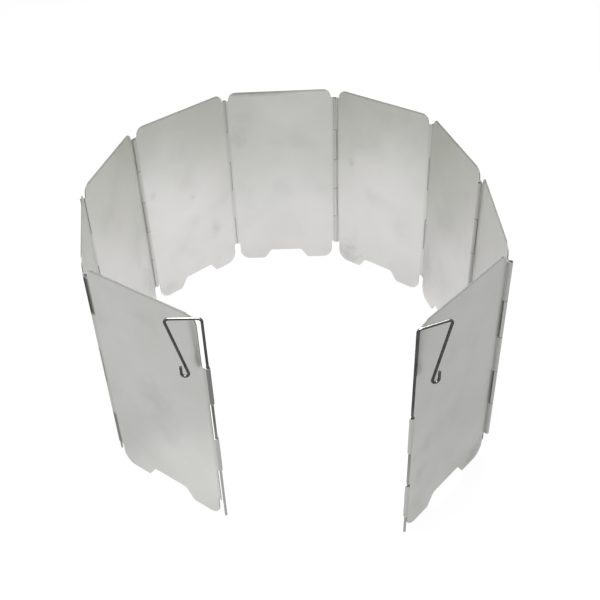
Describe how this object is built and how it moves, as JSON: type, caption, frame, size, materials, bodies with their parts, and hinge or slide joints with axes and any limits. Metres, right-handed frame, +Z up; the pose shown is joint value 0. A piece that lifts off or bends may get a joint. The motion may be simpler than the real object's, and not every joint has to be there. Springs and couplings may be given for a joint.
{
  "type": "folding stove windscreen",
  "caption": "Folding camp-stove windscreen of thin aluminium plates on rolled hinges, standing open as a ring, with air vents at its feet and a bent wire stake at each free end.",
  "frame": {"origin": "on the ground, in the middle of the standing ring's box", "axes": "+Z up, -Y towards the gap at the front of the ring, +X to the right seen from that gap"},
  "size_m": [0.2482, 0.2814, 0.1504],
  "materials": {
    "plate": "satin mill finish",
    "pin": "plain drawn wire",
    "stake": "bright drawn wire"
  },
  "bodies": {
    "plate_1": {"plate_1": "plate"},
    "plate_2": {"plate_2": "plate", "hinge_pin_1": "pin"},
    "plate_3": {"plate_3": "plate", "hinge_pin_2": "pin"},
    "plate_4": {"plate_4": "plate", "hinge_pin_3": "pin"},
    "plate_5": {"plate_5": "plate", "hinge_pin_4": "pin", "hinge_pin_5": "pin"},
    "plate_6": {"plate_6": "plate", "hinge_pin_6": "pin"},
    "plate_7": {"plate_7": "plate", "hinge_pin_7": "pin"},
    "plate_8": {"plate_8": "plate", "hinge_pin_8": "pin"},
    "plate_9": {"plate_9": "plate"},
    "left_stake": {"left_stake": "stake"},
    "right_stake": {"right_stake": "stake"}
  },
  "joints": [
    {"name": "hinge_1", "type": "hinge", "parent": "plate_2", "child": "plate_1", "pos_m": [-0.10389, -0.08028, 0], "axis": [0, 0, 1], "range_deg": [0, 135.2]},
    {"name": "hinge_2", "type": "hinge", "parent": "plate_3", "child": "plate_2", "pos_m": [-0.12278, 0.00057, 0], "axis": [0, 0, 1], "range_deg": [-204, 0]},
    {"name": "hinge_3", "type": "hinge", "parent": "plate_4", "child": "plate_3", "pos_m": [-0.10304, 0.08121, 0], "axis": [0, 0, 1], "range_deg": [0, 145.3]},
    {"name": "hinge_4", "type": "hinge", "parent": "plate_5", "child": "plate_4", "pos_m": [-0.04377, 0.13936, 0], "axis": [0, 0, 1], "range_deg": [-223, 0]},
    {"name": "hinge_5", "type": "hinge", "parent": "plate_5", "child": "plate_6", "pos_m": [0.03923, 0.13726, 0], "axis": [0, 0, -1], "range_deg": [0, 140.7]},
    {"name": "hinge_6", "type": "hinge", "parent": "plate_6", "child": "plate_7", "pos_m": [0.10479, 0.08631, 0], "axis": [0, 0, -1], "range_deg": [-217.4, 0]},
    {"name": "hinge_7", "type": "hinge", "parent": "plate_7", "child": "plate_8", "pos_m": [0.12184, 0.00505, 0], "axis": [0, 0, -1], "range_deg": [0, 165.9]},
    {"name": "hinge_8", "type": "hinge", "parent": "plate_8", "child": "plate_9", "pos_m": [0.12278, -0.07797, 0], "axis": [0, 0, -1], "range_deg": [-220.5, 0]},
    {"name": "left_stake_swing", "type": "hinge", "parent": "plate_1", "child": "left_stake", "pos_m": [-0.03549, -0.12729, 0], "axis": [0, 0, 1], "range_deg": [0, 211]},
    {"name": "right_stake_swing", "type": "hinge", "parent": "plate_9", "child": "right_stake", "pos_m": [0.06692, -0.13936, 0], "axis": [0, 0, -1], "range_deg": [0, 155]}
  ],
  "couplings": [
    {"joint": "hinge_4", "follows": "hinge_3", "ratio": -1.5347},
    {"joint": "hinge_2", "follows": "hinge_1", "ratio": -1.5088},
    {"joint": "hinge_6", "follows": "hinge_5", "ratio": -1.5451},
    {"joint": "hinge_8", "follows": "hinge_7", "ratio": -1.3291},
    {"joint": "right_stake_swing", "follows": "hinge_7", "ratio": 0.9342}
  ]
}
